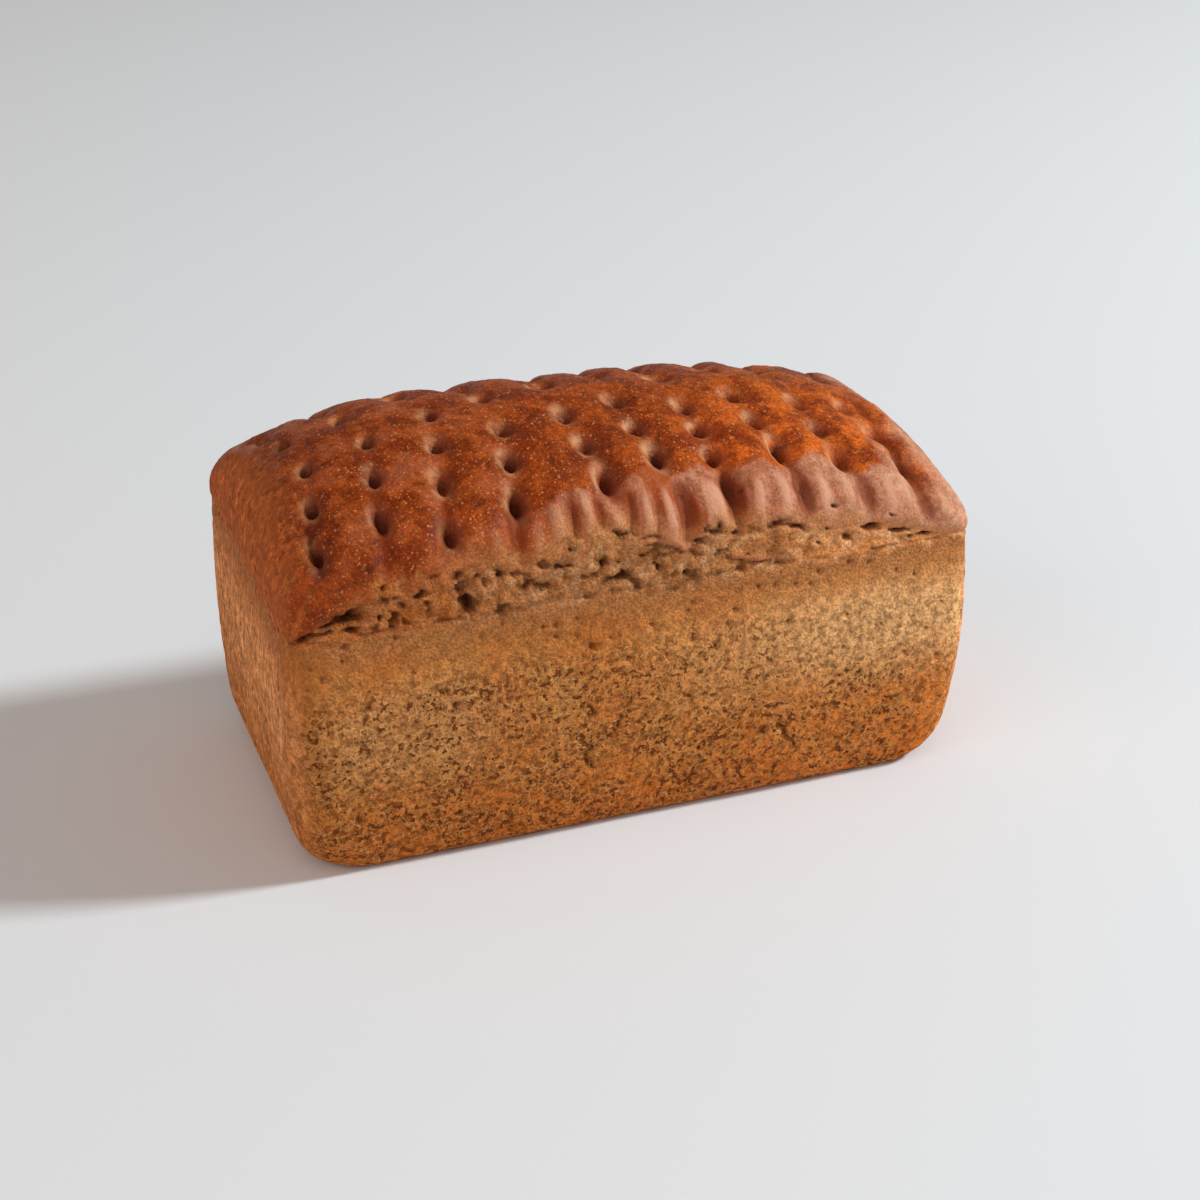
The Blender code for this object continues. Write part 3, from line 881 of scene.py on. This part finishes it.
def crumb_cells(tree, where, size, open_share, warp=0.3):
    """A net of cell walls as in cut crumb: how far inside an open cell, and the net itself."""
    shake = tree.nodes.new("ShaderNodeVectorMath")
    shake.operation = "MULTIPLY_ADD"
    join(tree, clouds(tree, where, size * 0.7, 2.0, 0.6, colour=True), shake.inputs[0])
    shake.inputs[1].default_value = (warp * size * 2,) * 3
    join(tree, where, shake.inputs[2])
    found = []
    for feature, output in (("F1", "Color"), ("DISTANCE_TO_EDGE", "Distance")):
        node = tree.nodes.new("ShaderNodeTexVoronoi")
        node.feature = feature
        join(tree, shake.outputs["Vector"], node.inputs["Vector"])
        node.inputs["Scale"].default_value = 1 / size
        found.append(node.outputs[output])
    pick = maths(tree, "MULTIPLY", found[0], 1.0)
    is_open = span(tree, pick, 1.0 - open_share, 1.15 - open_share)
    inside = maths(tree, "MULTIPLY", span(tree, found[1], 0.06, 0.34), is_open)
    return inside, span(tree, found[1], 0.11, 0.02)


print("node helpers ready")

# %% [markdown]
# ## The finish of the loaf
# The walls are a dull tan with a fine grain, a pale net of crumb and open pores in it, darkened
# with painted shade. The top is baked a deep orange brown with a satin shine, pale flecks of bran
# and painted glints, and it is painted lighter on the side towards the lamp. The shoulders are
# pinker and duller, the pink partly a painted sheen, and the crumb in the tear is a rough tan
# with caves darkened by painted shade. One material holds them all, because they run into one
# another without an edge.

# %% Colours, as a brush would mix them
# Colours of the walls
TAN = (0.52, 0.184, 0.040, 1)
OCHRE = (0.48, 0.137, 0.022, 1)
PALE_TAN = (0.62, 0.34, 0.145, 1)
TOASTED = (0.50, 0.112, 0.009, 1)
UNDER_SEAM = (0.35, 0.138, 0.048, 1)
NET_PALE = (0.78, 0.40, 0.135, 1)
# Painted shade in the pores and open cells of the walls
PIT_SHADE = (0.205, 0.048, 0.008, 1)
PORE_SHADE = (0.11, 0.024, 0.005, 1)
# Colours of the ends
END_PINK = (0.68, 0.275, 0.108, 1)
END_RED = (0.46, 0.13, 0.040, 1)
END_LOW = (0.50, 0.170, 0.050, 1)
END_CRUST = (0.72, 0.19, 0.042, 1)
# Colours of the baked top
ORANGE_BROWN = (0.38, 0.064, 0.006, 1)
RIGHT_ORANGE = (0.50, 0.095, 0.008, 1)
DEEP_BROWN = (0.20, 0.026, 0.003, 1)
GLINT = (0.70, 0.27, 0.075, 1)
RING_PALE = (0.72, 0.35, 0.165, 1)
# Painted shade on the wall of each hole that faces away from the lamp
SHADE_SIDE_BROWN = (0.16, 0.034, 0.020, 1)
# Painted shade in the wells and creases; it also darkens the baked crust at the left corner
CHAR_AND_SHADE = (0.075, 0.013, 0.008, 1)
# Colours of the stretched skin
SHOULDER_PINK = (0.51, 0.178, 0.100, 1)
SHOULDER_TAN = (0.50, 0.168, 0.072, 1)
PALE_PINK = (0.70, 0.34, 0.20, 1)
FADE_OCHRE = (0.54, 0.21, 0.070, 1)
# Colours of the bare crumb
CRUMB_TAN = (0.49, 0.185, 0.056, 1)
CRUMB_PALE = (0.60, 0.28, 0.12, 1)
# Painted shade in the hollows of the tear
CAVE_SHADE = (0.055, 0.012, 0.004, 1)

finish, nodes, shader = new_finish("baked crust and crumb")
here = place_on_loaf(nodes)
split = nodes.nodes.new("ShaderNodeSeparateXYZ")
join(nodes, here, split.inputs[0])
along_x, across_y, up_z = split.outputs


def shaded(colour, value):
    """A colour made lighter or darker by a number."""
    return tint(nodes, 1.0, colour, value, "MULTIPLY")


def times(first, second):
    return maths(nodes, "MULTIPLY", first, second)


def along(low, high, start=0.0, end=1.0):
    """A value that changes along the loaf, between two places in millimetres."""
    return span(nodes, along_x, low * MM, high * MM, start, end)


def upward(low, high, start=0.0, end=1.0):
    """A value that changes with the height, between two heights in millimetres."""
    return span(nodes, up_z, low * MM, high * MM, start, end)


def grained(colour, pattern, dark, light):
    """A colour made darker and lighter by a cloudy pattern."""
    return shaded(colour, span(nodes, pattern, 0.3, 0.7, dark, light))


def moved(*shift):
    """The loaf's own coordinates, moved on, so that two patterns don't repeat each other."""
    return place_on_loaf(nodes, (1, 1, 1), shift)


# %% The walls that lay against the tin
grain = clouds(nodes, here, 0.9 * MM, 2.0, 0.6)
grain_mid = clouds(nodes, here, 2.8 * MM, 3.0, 0.6)
patches = clouds(nodes, here, 24 * MM, 3.0, 0.5)
on_end = mask(nodes, "end")
streaks = clouds(nodes, place_on_loaf(nodes, (1, 1, 0.4)), 1.8 * MM, 3.0, 0.6)

wall = tint(nodes, span(nodes, patches, 0.38, 0.62), OCHRE, TAN)
toast = times(upward(42, 4), along(30, 90, 0.85, 0.6))
wall = tint(nodes, toast, wall, TOASTED)
pale_side = along(-15, 90, 0.08, 0.85)
pale_height = times(upward(30, 60), upward(82, 66, 0.25, 1.0))
wall = tint(nodes, times(pale_height, pale_side), wall, PALE_TAN)
pale_left = times(along(-35, -70, 0.0, 0.28), along(-110, -96))
pale_left = times(pale_left, upward(78, 55))
wall = tint(nodes, times(pale_left, upward(26, 46)), wall, PALE_TAN)
end_tone = tint(nodes, upward(60, 90), END_PINK, END_RED)
end_tone = tint(nodes, upward(55, 15), end_tone, END_LOW)
wall = tint(nodes, times(on_end, 0.85), wall, end_tone)
# The walls are painted lighter towards the right end: partly their own paler finish, partly painted
# light from the lamp on that side
wall = shaded(wall, along(-60, 112, 0.98, 1.27))
crumbly = upward(82, 62)
smooth_skin = span(nodes, grain_mid, 0.3, 0.7, 0.84, 1.16)
open_crumb = span(nodes, grain_mid, 0.3, 0.66, 0.60, 1.40)
wall = shaded(wall, tint(nodes, crumbly, smooth_skin, open_crumb))
wall = grained(wall, grain, 0.74, 1.26)
wall = tint(nodes, on_end, wall, shaded(wall, span(nodes, streaks, 0.36, 0.64, 0.82, 1.2)))
under_seam = grained(grained(UNDER_SEAM, grain, 0.68, 1.34), grain_mid, 0.8, 1.2)
wall = tint(nodes, upward(70, 86, 0.0, 0.75), wall, under_seam)

open_patch = span(nodes, clouds(nodes, here, 11 * MM), 0.3, 0.55, 0.45, 1.0)
open_wall = times(upward(80, 60, 0.06, 1.0), open_patch)
open_wall = times(open_wall, span(nodes, on_end, 0.0, 1.0, 1.0, 0.3))
quiet = times(pale_height, along(15, 70))
open_wall = times(open_wall, span(nodes, quiet, 0.0, 1.0, 1.0, 0.6))
open_wall = times(open_wall, along(88, 108, 1.0, 0.45))
# The near left corner of the walls is darkened with painted shade and tinted ochre
near_corner = times(along(-98, -111), span(nodes, across_y, -44 * MM, -55 * MM))
painted_corner_shade = shaded(wall, span(nodes, near_corner, 0.0, 1.0, 1.0, 0.84))
wall = tint(nodes, times(near_corner, 0.35), painted_corner_shade, OCHRE)
wide_pits, wide_net = crumb_cells(nodes, here, 2.6 * MM, 0.5, 0.5)
small_pits, small_net = crumb_cells(nodes, moved(0.013, 0.007, 0.02), 1.4 * MM, 0.4, 0.5)
torn_pits = span(nodes, clouds(nodes, moved(0.2, 0.3, 0.1), 2.0 * MM, 2.0, 0.6), 0.432, 0.38)
pits_here = maths(nodes, "MAXIMUM", times(wide_pits, 0.6), times(small_pits, 0.5))
pits_here = times(maths(nodes, "MAXIMUM", pits_here, torn_pits), open_wall)
net_here = times(maths(nodes, "MAXIMUM", wide_net, times(small_net, 0.6)), open_wall)
wall = tint(nodes, times(net_here, 0.5), wall, NET_PALE)
# Painted shade in the open cells, the pores and the dents of the larger pores and cracks
wall = tint(nodes, times(pits_here, 0.85), wall, PIT_SHADE)
pores = times(span(nodes, pits_here, 0.6, 1.0), 0.55)
pores = maths(nodes, "MAXIMUM", pores, times(span(nodes, streaks, 0.42, 0.30), times(on_end, 0.45)))
pores = maths(nodes, "MAXIMUM", pores, times(span(nodes, mask(nodes, "pit"), 0.3, 0.9), 0.8))
wall = tint(nodes, times(pores, 0.85), wall, PORE_SHADE)
wall = tint(nodes, times(span(nodes, streaks, 0.55, 0.70), times(on_end, 0.4)), wall, NET_PALE)

# %% The baked top
blotches = clouds(nodes, here, 12 * MM, 4.0, 0.6)
fine_glints = holes(nodes, moved(0.3, 0.1, 0.2), 1.1 * MM, 0.40, 1.0, 0.2)
bran_flecks = holes(nodes, moved(0.1, 0.4, 0.5), 2.6 * MM, 0.24, 1.0, 0.2)
valley = mask(nodes, "valley")
orange = tint(nodes, along(10, 80), ORANGE_BROWN, RIGHT_ORANGE)
top = tint(nodes, span(nodes, blotches, 0.38, 0.58, 0.1, 0.95), DEEP_BROWN, orange)
top = grained(top, grain_mid, 0.72, 1.26)
top = grained(top, grain, 0.74, 1.26)
# The top is painted lighter towards the near right, the side that faces the lamp: painted light
lit_side = times(along(-30, 75), span(nodes, across_y, 15 * MM, -25 * MM))
top = shaded(top, span(nodes, lit_side, 0.0, 1.0, 0.88, 1.26))
# Pale specks over the top: partly bran, partly painted glints
top = tint(nodes, times(fine_glints, span(nodes, grain_mid, 0.35, 0.6, 0.25, 0.8)), top, GLINT)
top = tint(nodes, times(bran_flecks, 0.45), top, PALE_PINK)
dusky = times(along(-20, -60), span(nodes, clouds(nodes, here, 12 * MM, 2.0), 0.5, 0.68))
top = tint(nodes, times(times(dusky, along(-104, -90)), 0.2), top, SHOULDER_PINK)
ring_patch = span(nodes, clouds(nodes, here, 5 * MM, 2.0), 0.36, 0.6, 0.2, 0.9)
# The pale ring round each hole is the stretched skin's own paler colour, with a painted highlight on
# its left, the side that faces the lamp
top = tint(nodes, times(mask(nodes, "ring"), ring_patch), top, RING_PALE)
end_crust = grained(grained(END_CRUST, grain_mid, 0.48, 1.5), grain, 0.72, 1.28)
end_crust = tint(nodes, span(nodes, blotches, 0.42, 0.58, 0.0, 0.7), end_crust, END_RED)
top = tint(nodes, times(mask(nodes, "end"), 0.65), top, end_crust)
# The pink skin of the shoulders is partly its own colour and partly a painted sheen, paler towards
# the right
skin = tint(nodes, span(nodes, grain_mid, 0.36, 0.6), SHOULDER_TAN, SHOULDER_PINK)
skin = tint(nodes, along(30, 104, 0.0, 0.82), skin, PALE_PINK)
skin = grained(skin, grain_mid, 0.74, 1.2)
skin = grained(skin, grain, 0.80, 1.18)
skin = shaded(skin, along(-20, 50, 0.90, 0.95))
creased = clouds(nodes, place_on_loaf(nodes, (1, 0.22, 0.22), (0.4, 0.1, 0.3)), 4.5 * MM, 3.0)
striped = times(span(nodes, creased, 0.50, 0.64, 0.0, 0.8), along(50, 5, 0.25, 1.0))
skin = tint(nodes, striped, skin, ORANGE_BROWN)
skin = tint(nodes, span(nodes, creased, 0.46, 0.34, 0.0, 0.45), skin, PALE_PINK)
skin = tint(nodes, span(nodes, blotches, 0.55, 0.38, 0.0, 0.3), skin, ORANGE_BROWN)
# Painted glints on the skin as well
skin = tint(nodes, times(fine_glints, 0.25), skin, PALE_PINK)
top = tint(nodes, mask(nodes, "shoulder"), top, skin)
# Painted shade in the grooves and furrows, and a painted highlight on the ridges of the shoulders
top = tint(nodes, span(nodes, valley, 0.12, 0.85, 0.0, 0.75), top, DEEP_BROWN)
ridge_highlight = span(nodes, valley, -0.05, -0.4, 0.0, 0.75)
top = tint(nodes, times(ridge_highlight, mask(nodes, "shoulder")), top, PALE_PINK)
fade_tone = tint(nodes, along(-40, -80, 0.0, 0.7), FADE_OCHRE, ORANGE_BROWN)
top = tint(nodes, times(mask(nodes, "fading"), 0.75), top, grained(fade_tone, grain, 0.75, 1.3))
# Painted shade on the wall of each hole that faces away from the lamp
top = tint(nodes, times(mask(nodes, "shade_side"), 0.6), top, SHADE_SIDE_BROWN)
# Painted shade in the wells of the docking holes and in the creases and broken blisters
top = tint(nodes, times(mask(nodes, "well"), 0.85), top, CHAR_AND_SHADE)
top = tint(nodes, times(mask(nodes, "charred"), 0.3), top, CHAR_AND_SHADE)

# %% The bare crumb in the tear
pale_crumb = span(nodes, clouds(nodes, here, 5 * MM, 3.0, 0.6), 0.42, 0.62)
crumb = tint(nodes, pale_crumb, CRUMB_TAN, CRUMB_PALE)
crumb = tint(nodes, along(-30, -80, 0.0, 0.55), crumb, TOASTED)
crumb = shaded(crumb, along(15, 70, 0.92, 1.5))
crumb = grained(crumb, grain_mid, 0.75, 1.22)
crumb = grained(crumb, grain, 0.72, 1.25)

# %% Put the finishes together
bread = tint(nodes, mask(nodes, "crust"), wall, top)
border = times(mask(nodes, "crust"), maths(nodes, "SUBTRACT", 1.0, mask(nodes, "crust")))
border = times(span(nodes, border, 0.05, 0.22), on_end)
scab_patch = span(nodes, clouds(nodes, here, 9 * MM, 2.0), 0.42, 0.56)
scabs = times(span(nodes, grain_mid, 0.52, 0.40), scab_patch)
bread = tint(nodes, times(border, times(scabs, 0.75)), bread, DEEP_BROWN)
bread = tint(nodes, mask(nodes, "bare"), bread, crumb)
bread = tint(nodes, times(mask(nodes, "flap"), 0.55), bread, SHOULDER_TAN)
# Painted shade in the hollows of the tear
bread = tint(nodes, mask(nodes, "hollow_shade"), bread, CAVE_SHADE)
join(nodes, bread, shader.inputs["Base Color"])

rough = span(nodes, mask(nodes, "crust"), 0.0, 1.0, 0.85, 0.44)
rough = maths(nodes, "MAXIMUM", rough, times(mask(nodes, "shoulder"), 0.52))
rough = maths(nodes, "MAXIMUM", rough, times(mask(nodes, "bare"), 0.9))
rough = maths(nodes, "MAXIMUM", rough, times(mask(nodes, "end"), 0.92))
rough = maths(nodes, "ADD", rough, span(nodes, grain, 0.3, 0.7, -0.08, 0.08))
join(nodes, rough, shader.inputs["Roughness"])
shader.inputs["Specular IOR Level"].default_value = 0.08

wall_relief = maths(nodes, "MULTIPLY_ADD", pits_here, -0.9, times(grain, 0.8))
wall_relief = maths(nodes, "MULTIPLY_ADD", net_here, 0.3, wall_relief)
crust_relief = maths(nodes, "MULTIPLY_ADD", grain_mid, 0.7, times(grain, 0.35))
height = tint(nodes, mask(nodes, "crust"), wall_relief, crust_relief)
height = tint(nodes, mask(nodes, "bare"), height, times(grain, 1.2))
bump = nodes.nodes.new("ShaderNodeBump")
bump.inputs["Distance"].default_value = 1 * MM
bump.inputs["Strength"].default_value = 1.0
join(nodes, height, bump.inputs["Height"])
join(nodes, bump.outputs["Normal"], shader.inputs["Normal"])
loaf.data.materials.append(finish)
print("finish of", len(nodes.nodes), "nodes")

# %% [markdown]
# ## The loaf takes the place of the measured solid
# The measured solid stays in the file for the simulation. The baked loaf rides on the same body
# and is shown instead of it.

# %% Stand the loaf in for the solid
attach(loaf, "root")
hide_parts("loaf")
